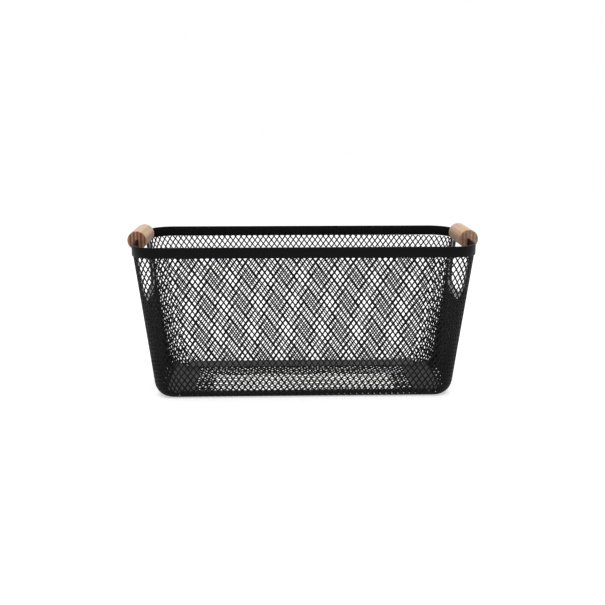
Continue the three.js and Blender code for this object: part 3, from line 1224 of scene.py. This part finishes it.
@dataclass
class RimHoop:
    """Flat steel bar bent to a rounded rectangle round the rim.

    Attributes:
        length: Length over the hoop.
        width: Width over the hoop.
        radius: Outer radius of its corners.
        top: Height of its upper edge.
        height: Height of the bar.
        thickness: Thickness of the bar.
        edge: Radius of its edges.
    """

    length: float = 400.0
    width: float = 183.0
    radius: float = 30.5
    top: float = 187.0
    height: float = 12.5
    thickness: float = 2.4
    edge: float = 0.5

    NAME = "rim_band"
    CORNERS = ((1, -1, 3), (1, 1, 0), (-1, 1, 1), (-1, -1, 2))
    CORNER_STEPS = 28
    EDGE_STEPS = 3
    SIDE_STEPS = 12

    def bends(self) -> list[list[Station]]:
        """Places round the four corners.

        Returns:
            Each corner's stations on the middle line of the bar, with its outward and upward directions.
        """
        up = Vector((0, 0, 1))
        made = []
        for x, y, start in self.CORNERS:
            middle_x, middle_y = x * (self.length / 2 - self.radius), y * (self.width / 2 - self.radius)
            centre = Vector((middle_x, middle_y, self.top - self.height / 2))
            outs = [Vector((*way, 0)) for way in quarter_arc(start, self.CORNER_STEPS)]
            made.append([(centre + out * (self.radius - self.thickness / 2), out, up) for out in outs])
        return made

    def stations(self) -> list[Station]:
        """Places round the whole hoop, with even steps along its straight sides.

        Returns:
            Each station's middle, outward direction and upward direction.
        """
        bends = self.bends()
        made = []
        for bend, following in zip(bends, bends[1:] + bends[:1]):
            start, out, up = bend[-1]
            made += bend
            for step in range(1, self.SIDE_STEPS):
                made.append((start.lerp(following[0][0], step / self.SIDE_STEPS), out, up))
        return made

    def build(self) -> bpy.types.Object:
        """Makes the hoop.

        Returns:
            The new object, in place of its CAD node.
        """
        profile = strip_profile(self.thickness, self.height, self.edge, self.EDGE_STEPS)
        made = sweep(self.NAME, profile, self.stations(), closed=True)
        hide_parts(self.NAME)
        return made


@dataclass
class MeshTub:
    """Tub of diamond expanded steel mesh, with its flat floor.

    Attributes:
        form: Outer surface of the tub.
        hole: Hand hole that is cut from both short sides.
        front: Lattice of the front.
        back: Lattice of the back.
        columns: Diamonds round the tub.
        rows: Diamonds up the walls, with those on the bend, before their upper edge is cut.
        strand: Width of the strands.
        thickness: Thickness of the sheet.
        turned: How much deeper the turned strands of the long sides are.
        end_turned: How much deeper they are on the short sides and low in the front corners.
        slip: How far the turn of the strands lowers their inner face.
        crowding: How much wider the strands are where the foot's bend crowds them.
        low_crowding: How much wider they are just above that bend.
        floor_pitch: Width and length of the floor's diamonds.
        open_middle: Half length, front edge and back edge of the floor's more open middle.
        middle_strand: Width and depth of the strands there, as shares of the usual ones.
        border_strand: The same along the edges, where the floor's sheet is doubled.
    """

    form: TubForm
    hole: HandHole
    front: SideLattice = SideLattice(
        pitch=7.2134,
        row=10.367,
        lean=0.0248,
        spread=0.0,
        sag=1.82,
        tilt=0.77,
        column_shift=0.078,
        row_shift=-0.323,
    )
    back: SideLattice = SideLattice(
        pitch=7.157,
        row=9.824,
        lean=0.0267,
        spread=0.00026,
        sag=2.65,
        tilt=0.54,
        column_shift=-0.433,
        row_shift=-0.396,
    )
    columns: int = 154
    rows: int = 20
    strand: float = 1.4
    thickness: float = 0.8
    turned: float = 0.4
    end_turned: float = 1.0
    slip: float = 0.45
    crowding: float = 1.1
    low_crowding: float = 0.22
    floor_pitch: Pair = (7.2, 10.0)
    open_middle: Triple = (113.0, -48.0, 24.0)
    middle_strand: Pair = (0.8, 0.3)
    border_strand: Pair = (1.25, 1.2)

    WIDEST_KNUCKLE = 0.7
    # Where changes start and end: in half turns, then in millimetres up the wall or along the corner.
    FRONT_TO_BACK = (0.34, 0.66)
    BEND_ENDS = (5.0, 13.0)
    FOOT_ENDS = (25.0, 40.0)
    CORNER_FOOT_LOWER = 15.0
    CORNER_STARTS = (-10.0, 10.0)
    FRONT_END_STARTS = (0.0, 20.0)
    BACK_END_STARTS = (10.0, 30.0)
    LOW_CORNER_ENDS = (50.0, 90.0)
    FLOOR_NODE = "floor_mesh"
    WALL_NODES = (
        "front_mesh",
        "front_right_corner_mesh",
        "right_mesh",
        "back_right_corner_mesh",
        "back_mesh",
        "back_left_corner_mesh",
        "left_mesh",
        "front_left_corner_mesh",
    )

    def knuckle_share(self, half_width: float, half_height: float) -> float:
        """Share of a half diamond that strands of the right width take at a node."""
        share = self.strand * math.hypot(half_width, half_height) / (2 * half_width * half_height)
        return min(self.WIDEST_KNUCKLE, share)

    def locate(self, sheet: TubSheet, column: float, row: float) -> Pair:
        """Finds a lattice place on the tub's sheet.

        Args:
            sheet: The tub's sheet.
            column: Half diamonds round the tub from the middle of the front.
            row: Half diamonds up the wall.

        Returns:
            The way round the tub along its top, and the way up the wall.
        """
        turn = column / self.columns
        folded = turn % 2
        behind = ramp(min(folded, 2 - folded), self.FRONT_TO_BACK)
        local, sign_x, _ = sheet.fold(turn * 2 * sheet.quarter)
        x = sign_x * min(local, sheet.long_flat)
        rise = self.front.rise(x, row) * (1 - behind) + self.back.rise(x, row) * behind
        front_half = 2 * math.floor(turn / 2 + 0.5)
        back_half = 2 * math.floor(turn / 2) + 1
        ways = []
        for lattice, half in ((self.front, front_half), (self.back, back_half)):
            ways.append(2 * half * sheet.quarter + lattice.along(column - half * self.columns, rise))
        return ways[0] * (1 - behind) + ways[1] * behind, rise

    def crowd(self, rise: float) -> float:
        """How many times wider the strands are at a way up the wall."""
        at_bend = self.crowding * (1 - ramp(rise, self.BEND_ENDS))
        return 1 + at_bend + self.low_crowding * (1 - ramp(rise, self.FOOT_ENDS))

    def turn_of_strands(self, sheet: TubSheet, along: float, rise: float) -> Pair:
        """Depth and slip of the strands, which lie flat in the sheet at the foot and high in the corners.

        Args:
            sheet: The tub's sheet.
            along: Way round the tub along its top.
            rise: Way up the wall.

        Returns:
            The strands' depth, and how far their inner face lies below the outer one.
        """
        local, _, front_sign = sheet.fold(along)
        is_back = front_sign < 0
        corner = ramp(local - sheet.long_flat, self.CORNER_STARTS)
        end_starts = self.BACK_END_STARTS if is_back else self.FRONT_END_STARTS
        end = ramp(local - sheet.corner_middle, end_starts)
        low = corner * (1 - ramp(rise, self.LOW_CORNER_ENDS)) * (end if is_back else 1)
        upright = ramp(rise + self.CORNER_FOOT_LOWER * corner, self.FOOT_ENDS)
        high_turned = self.turned * (1 - corner) + self.end_turned * end
        turned = high_turned * (1 - low) + self.end_turned * low
        return self.thickness + turned * upright, self.slip * upright

    def build_walls(self) -> bpy.types.Object:
        """Makes the net of the walls and their bends.

        Returns:
            The new object, in place of its CAD panels.
        """
        sheet = TubSheet(self.form)
        full = self.form.long_wall.way
        half_pitch = 2 * sheet.quarter / self.columns
        half_row = (self.front.row + self.back.row) / 4

        def place(column: float, row: float) -> Vector:
            """Outer point at a lattice place."""
            along, rise = self.locate(sheet, column, row)
            return sheet.place(along, held(rise / full))

        def knuckle(column: float, row: float) -> float:
            """Finds the knuckle of a node.

            Args:
                column: Column of the node.
                row: Row of the node.

            Returns:
                Share of a half diamond that its strands take.
            """
            along, rise = self.locate(sheet, column, row)
            share = self.knuckle_share(half_pitch * sheet.pitch_share(along, held(rise / full)), half_row)
            return min(self.WIDEST_KNUCKLE, self.crowd(rise) * share)

        def keep(column: float, row: float) -> float:
            """Measures the clearance from the upper edge, the floor and the hand holes.

            Args:
                column: Half diamonds round the tub.
                row: Half diamonds up the wall.

            Returns:
                The least of them, negative where the mesh is cut away.
            """
            along, rise = self.locate(sheet, column, row)
            if not 0 < rise < full:
                return -1.0
            return min(rise, full - rise, self.hole.clearance(sheet.place(along, rise / full)))

        def inner(column: float, row: float) -> Pair:
            """Depth and slip of the strands at a lattice place."""
            return self.turn_of_strands(sheet, *self.locate(sheet, column, row))

        net = DiamondNet(2 * self.columns, 2 * self.rows, True, place, knuckle, keep, inner)
        made = net.build("mesh_walls")
        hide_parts(*self.WALL_NODES)
        return made

    def build_floor(self) -> bpy.types.Object:
        """Makes the net of the flat floor.

        Returns:
            The new object, in place of its CAD node.
        """
        ground = self.form.outline(0.0)
        half_width, half_height = self.floor_pitch[0] / 2, self.floor_pitch[1] / 2
        columns = 2 * math.ceil(ground.half_length / half_width)
        rows = 2 * math.ceil(ground.half_width / half_height)
        share = self.knuckle_share(half_width, half_height)
        half_middle, front, back = self.open_middle

        def place(column: float, row: float) -> Vector:
            """Lower point at a lattice place."""
            return Vector(((column - columns / 2) * half_width, (rows / 2 - row) * half_height, 0.0))

        def keep(column: float, row: float) -> float:
            """Distance inside the floor's edge."""
            spot = place(column, row)
            return -rounded_box(spot.x, spot.y, ground.half_length, ground.half_width, ground.radius)

        def strand(column: float, row: float) -> Pair:
            """Width and depth of the strands at a place, as shares of the usual ones."""
            x, y, _ = place(column, row)
            return self.middle_strand if abs(x) < half_middle and front < y < back else self.border_strand

        def knuckle(column: float, row: float) -> float:
            """Knuckle share at a node."""
            return share * strand(column, row)[0]

        def inner(column: float, row: float) -> Pair:
            """Depth of the strands, which lie flat, at a place."""
            return self.thickness * strand(column, row)[1], 0.0

        made = DiamondNet(columns, rows, False, place, knuckle, keep, inner).build("mesh_floor")
        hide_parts(self.FLOOR_NODE)
        return made


@dataclass
class BambooBar:
    """Round bar of laminated bamboo with a slot sawn up from below, pushed over the hoop.

    Attributes:
        diameter: Diameter of the bar.
        length: Length of the bar.
        reach: Distance of its axis from the middle of the basket.
        height: Height of its axis.
        slot_width: Width of the slot.
        slot_top: Height of the slot's end over the axis.
        edge: Radius of the rounded edges.
    """

    diameter: float = 23.0
    length: float = 64.0
    reach: float = 198.8
    height: float = 186.5
    slot_width: float = 3.0
    slot_top: float = 0.8
    edge: float = 0.9

    ROUND_STEPS = 72
    EDGE_STEPS = 4
    LENGTH_STEPS = 8
    SMOOTH_UP_TO = 35.0
    SIDE, SAWN, SANDED = 0, 1, 2

    def section(self, drawn_in: float) -> list[Pair]:
        """Cross-section with its round drawn in by a distance, as places across and up.

        Args:
            drawn_in: Distance that the round is drawn in.

        Returns:
            The points of the outline, anticlockwise.
        """
        radius = self.diameter / 2 - drawn_in
        half_slot = self.slot_width / 2
        slot_angle = math.asin(half_slot / radius)
        start, end = slot_angle - QUARTER_TURN, 3 * QUARTER_TURN - slot_angle
        points = []
        for step in range(self.ROUND_STEPS + 1):
            angle = start + (end - start) * step / self.ROUND_STEPS
            points.append((radius * math.cos(angle), radius * math.sin(angle)))
        return [*points, (-half_slot, self.slot_top), (half_slot, self.slot_top)]

    def rings(self) -> list[Pair]:
        """Stations along the bar, from end to end.

        Returns:
            Each one's place along the bar, and how far the outline is drawn in there.
        """
        half, inner = self.length / 2, self.length / 2 - self.edge
        turns = quarter_arc(0, self.EDGE_STEPS)
        ends = [(half - self.edge * (1 - sine), self.edge * (1 - cosine)) for cosine, sine in turns]
        middle = [(-inner + 2 * inner * i / self.LENGTH_STEPS, 0.0) for i in range(1, self.LENGTH_STEPS)]
        return [(-place, drawn) for place, drawn in reversed(ends)] + middle + ends

    def build(self, end: End) -> bpy.types.Object:
        """Makes the bar of one end.

        Args:
            end: The end that it belongs to.

        Returns:
            The new object, in place of its CAD node, with materials for its side, sawn faces and edges.
        """
        name = end.named("handle")
        rings = self.rings()
        spans = len(rings) - 1
        points = [Vector((x, place, z)) for place, drawn in rings for x, z in self.section(drawn)]
        size = len(self.section(0.0))
        faces = []
        for j in range(size):
            k = (j + 1) % size
            for i in range(spans):
                faces.append([(i + 1) * size + j, (i + 1) * size + k, i * size + k, i * size + j])
        faces += [list(range(size)), list(range(spans * size, (spans + 1) * size))[::-1]]
        mesh = mesh_of(name, points, faces)
        for polygon in mesh.polygons:
            ring = polygon.index % spans
            is_edge = min(ring, spans - 1 - ring) < self.EDGE_STEPS
            is_sawn = polygon.index >= self.ROUND_STEPS * spans
            polygon.material_index = self.SAWN if is_sawn else self.SANDED if is_edge else self.SIDE
        shade_round(mesh, self.SMOOTH_UP_TO)
        made = new_object(name, mesh)
        made.location = Vector((end.value * self.reach, 0, self.height)) * MM
        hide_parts(name)
        return made


@dataclass
class Studio:
    """Pale floor, soft light and the camera.

    Attributes:
        eye: Place of the camera.
        pitch: Angle of the camera below level.
        yaw: Angle of the camera towards +X.
        focal: Focal length in pixels of the picture.
        picture: Width of the picture in pixels.
        floor_size: Length of the floor's sides.
        floor_drop: How far the floor lies below the basket.
        floor_tone: Colour of the floor.
        floor_lift: Light that the floor adds for whoever looks at it.
        sky: Strength of the light from all round.
        daylight: Strength of the even, very soft light from above.
        daylight_angle: Width of that light in degrees.
        daylight_tilt: Tilt of that light about X in degrees.
        overhead: Power of each soft box over an end of the basket, in watts.
        overhead_place: Place of the soft box on the right.
        overhead_size: Sizes of the soft boxes along X and Y.
    """

    eye: Triple = (-30.3, -1026.6, 337.4)
    pitch: float = 0.225
    yaw: float = 0.029
    focal: float = 838.1
    picture: int = 605
    floor_size: float = 12000.0
    floor_drop: float = 0.1
    floor_tone: float = 0.85
    floor_lift: float = 0.52
    sky: float = 0.25
    daylight: float = 1.0
    daylight_angle: float = 100.0
    daylight_tilt: float = -12.0
    overhead: float = 7.0
    overhead_place: Triple = (400.0, -250.0, 1500.0)
    overhead_size: Pair = (300.0, 1500.0)

    SENSOR = 36.0
    SEEN_FROM, SEEN_TO = 0.01, 100.0
    WHITE = (1.0, 1.0, 1.0, 1.0)

    def camera(self) -> None:
        """Sets the camera where the picture was taken from."""
        data = bpy.data.cameras.new("camera")
        data.sensor_width = self.SENSOR
        data.lens = self.SENSOR * self.focal / self.picture
        data.clip_start, data.clip_end = self.SEEN_FROM, self.SEEN_TO
        made = new_object("camera", data)
        made.location = Vector(self.eye) * MM
        made.rotation_euler = Euler((QUARTER_TURN - self.pitch, 0, -self.yaw))
        bpy.context.scene.camera = made

    def seen_rays(self, board: Board) -> bpy.types.NodeSocket:
        """Finds the rays that look at a surface straight, in a reflection or through glass.

        Args:
            board: Board of the material or the world.

        Returns:
            A share that is 1 for those rays.
        """
        path = board.add("ShaderNodeLightPath").outputs
        looks = board.math("MAXIMUM", path["Is Camera Ray"], path["Is Glossy Ray"])
        return board.math("MAXIMUM", looks, path["Is Transmission Ray"])

    def floor(self) -> None:
        """Lays the floor, which keeps the basket's shadow."""
        half = self.floor_size / 2
        corners = ((-1, -1), (1, -1), (1, 1), (-1, 1))
        points = [Vector((x * half, y * half, -self.floor_drop)) for x, y in corners]
        made = new_object("floor", mesh_of("floor", points, [[0, 1, 2, 3]]))
        colour = (self.floor_tone, self.floor_tone, self.floor_tone, 1.0)
        material, board = new_material("floor_paper", colour)
        paper = board.add("ShaderNodeBsdfDiffuse", {"Color": colour})
        lift = board.math("MULTIPLY", self.seen_rays(board), self.floor_lift)
        glow = board.add("ShaderNodeEmission", {"Strength": lift})
        both = board.add("ShaderNodeAddShader", {0: paper.outputs[0], 1: glow.outputs[0]})
        board.add("ShaderNodeOutputMaterial", {"Surface": both.outputs[0]})
        made.data.materials.append(material)

    def world(self) -> None:
        """Gives even light from all round, before a white background."""
        world = bpy.data.worlds.new("studio")
        world.use_nodes = True
        bpy.context.scene.world = world
        board = Board(world.node_tree)
        strength = board.math("MULTIPLY_ADD", self.seen_rays(board), 1.0 - self.sky, self.sky)
        light = board.add("ShaderNodeBackground", {"Color": self.WHITE, "Strength": strength})
        board.add("ShaderNodeOutputWorld", {"Surface": light.outputs[0]})

    def soft_box(self, end: End) -> None:
        """Hangs the soft box over one end, facing down.

        Args:
            end: The end that it hangs over.
        """
        name = end.named("lamp")
        data = bpy.data.lights.new(name, "AREA")
        data.shape = "RECTANGLE"
        data.size, data.size_y = (size * MM for size in self.overhead_size)
        data.energy = self.overhead
        x, y, z = self.overhead_place
        new_object(name, data).location = Vector((end.value * x, y, z)) * MM

    def sun(self) -> None:
        """Adds the even light from above, which reaches the whole floor."""
        data = bpy.data.lights.new("daylight", "SUN")
        data.energy = self.daylight
        data.angle = math.radians(self.daylight_angle)
        new_object("daylight", data).rotation_euler = Euler((math.radians(self.daylight_tilt), 0, 0))

    def build(self) -> None:
        """Sets up the camera, the floor, the light and how colours are shown."""
        self.camera()
        self.floor()
        self.world()
        for end in End:
            self.soft_box(end)
        self.sun()
        bpy.context.scene.view_settings.view_transform = "Standard"


class Basket:
    """The whole basket: its pieces and their finishes."""

    RIM_COAT = CoatFinish(
        name="rim_coat",
        dark=tone(11, 11, 12),
        light=tone(15, 15, 16),
        roughness=0.44,
        gloss=0.08,
        dimples=1400.0,
        relief=3e-5,
    )
    MESH_COAT = CoatFinish(
        name="mesh_coat",
        dark=tone(12, 12, 13),
        light=tone(18, 18, 19),
        roughness=0.52,
        gloss=0.1,
        dimples=1800.0,
        relief=3e-5,
    )
    LINING_COAT = replace(
        RIM_COAT,
        name="lining_coat",
        dark=tone(20, 20, 21),
        light=tone(28, 28, 29),
        roughness=0.34,
        gloss=0.3,
        relief=1e-5,
    )
    # Light grey full metal on the inner lap of the linings: a painted sheen, standing in for the overhead
    # light reflected in the black coat there.
    PAINTED_SHEEN_LAP = CoatFinish(
        name="painted_sheen_lap",
        dark=tone(150, 150, 153),
        light=tone(166, 166, 169),
        roughness=0.26,
        gloss=0.5,
        dimples=900.0,
        relief=1e-6,
        metal=1.0,
    )
    FRAME_COAT = replace(
        LINING_COAT, name="frame_coat", light=tone(26, 26, 27), roughness=0.4, relief=2e-5
    )
    SAWN_COLOURS = {
        End.LEFT: (tone(208, 168, 138), tone(130, 78, 48)),
        End.RIGHT: (tone(220, 184, 160), tone(174, 134, 108)),
    }
    BAR_SEEDS = {End.LEFT: 3.0, End.RIGHT: 8.0}
    KEPT_NODE = "floor_frame"

    def __init__(self) -> None:
        """Starts with the sizes of the pieces and no meshes."""
        form = TubForm()
        self.effects = Effects()
        self.hoop = RimHoop()
        self.hole = HandHole(form)
        self.tub = MeshTub(form, self.hole)
        self.bar = BambooBar()

    def place(self, piece: bpy.types.Object, slot: Slot, *materials: bpy.types.Material) -> None:
        """Dresses a piece, ties it to the basket's body and reports it.

        Args:
            piece: The piece.
            slot: The record's slot for its finish; not used.
            *materials: Its materials, in order.
        """
        for material in materials:
            piece.data.materials.append(material)
        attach(piece, BODY)
        LOG.info("%s: %d faces", piece.name, len(piece.data.polygons))

    def bamboo(self, end: End) -> list[bpy.types.Material]:
        """Makes the finishes of one bar.

        Args:
            end: The end that the bar belongs to.

        Returns:
            The materials of its round side, its sawn ends and its sanded edges.
        """
        name = end.name.lower()
        pale_sawn, deep_sawn = self.SAWN_COLOURS[end]
        side = BambooFinish(
            name=f"bamboo_side_{name}",
            pale=tone(214, 190, 166),
            deep=tone(182, 142, 108),
            streak=tone(208, 186, 132),
            tint=tone(206, 160, 138),
            fibre=tone(168, 130, 102),
            joint=tone(168, 126, 96),
            seed=self.BAR_SEEDS[end],
            strip=0.0029,
            turns=0.4,
            streak_share=0.7,
            fibre_share=0.4,
            joint_share=0.6,
            roughness=0.42,
        )
        sawn = replace(
            side,
            name=f"bamboo_sawn_{name}",
            pale=pale_sawn,
            deep=deep_sawn,
            streak=tone(158, 96, 60),
            tint=tone(150, 114, 92),
            fibre=tone(92, 58, 42),
            joint=tone(104, 62, 40),
            strip=0.0021,
            turns=0.75,
            streak_share=0.35,
            fibre_share=0.5,
            joint_share=0.4,
            roughness=0.62,
        )
        sanded = replace(
            side,
            name=f"bamboo_edge_{name}",
            pale=tone(236, 186, 148),
            deep=tone(214, 146, 100),
            streak_share=0.3,
            fibre_share=0.2,
        )
        return [finish.material(self.effects) for finish in (side, sawn, sanded)]

    def dress_kept(self, node: bpy.types.Object, material: bpy.types.Material) -> None:
        """Gives a CAD node that stays its material.

        Args:
            node: The node's object.
            material: Its only material.
        """
        node.data.materials.clear()
        node.data.materials.append(material)
        LOG.info("%s: kept from the frame", node.name)

    def build(self, frame: dict) -> None:
        """Builds and dresses all pieces.
        """
        finishes = (self.RIM_COAT, self.MESH_COAT, self.LINING_COAT, self.PAINTED_SHEEN_LAP, self.FRAME_COAT)
        materials = [finish.material(self.effects) for finish in finishes]
        rim_coat, mesh_coat, *lining, frame_coat = materials
        self.place(self.hoop.build(), Slot.RIM, rim_coat)
        self.place(self.tub.build_walls(), Slot.MESH, mesh_coat)
        self.place(self.tub.build_floor(), Slot.MESH, mesh_coat)
        for end in End:
            self.place(self.hole.build(end), Slot.RIM, *lining)
            self.place(self.bar.build(end), Slot.BAMBOO, *self.bamboo(end))
        self.dress_kept(frame["nodes"][self.KEPT_NODE], frame_coat)


def main() -> None:
    """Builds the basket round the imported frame, in its studio."""
    logging.basicConfig(level=logging.INFO, format="%(name)s: %(message)s")
    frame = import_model()
    Studio().build()
    Basket().build(frame)
    bpy.context.view_layer.update()


if __name__ == "__main__":
    main()
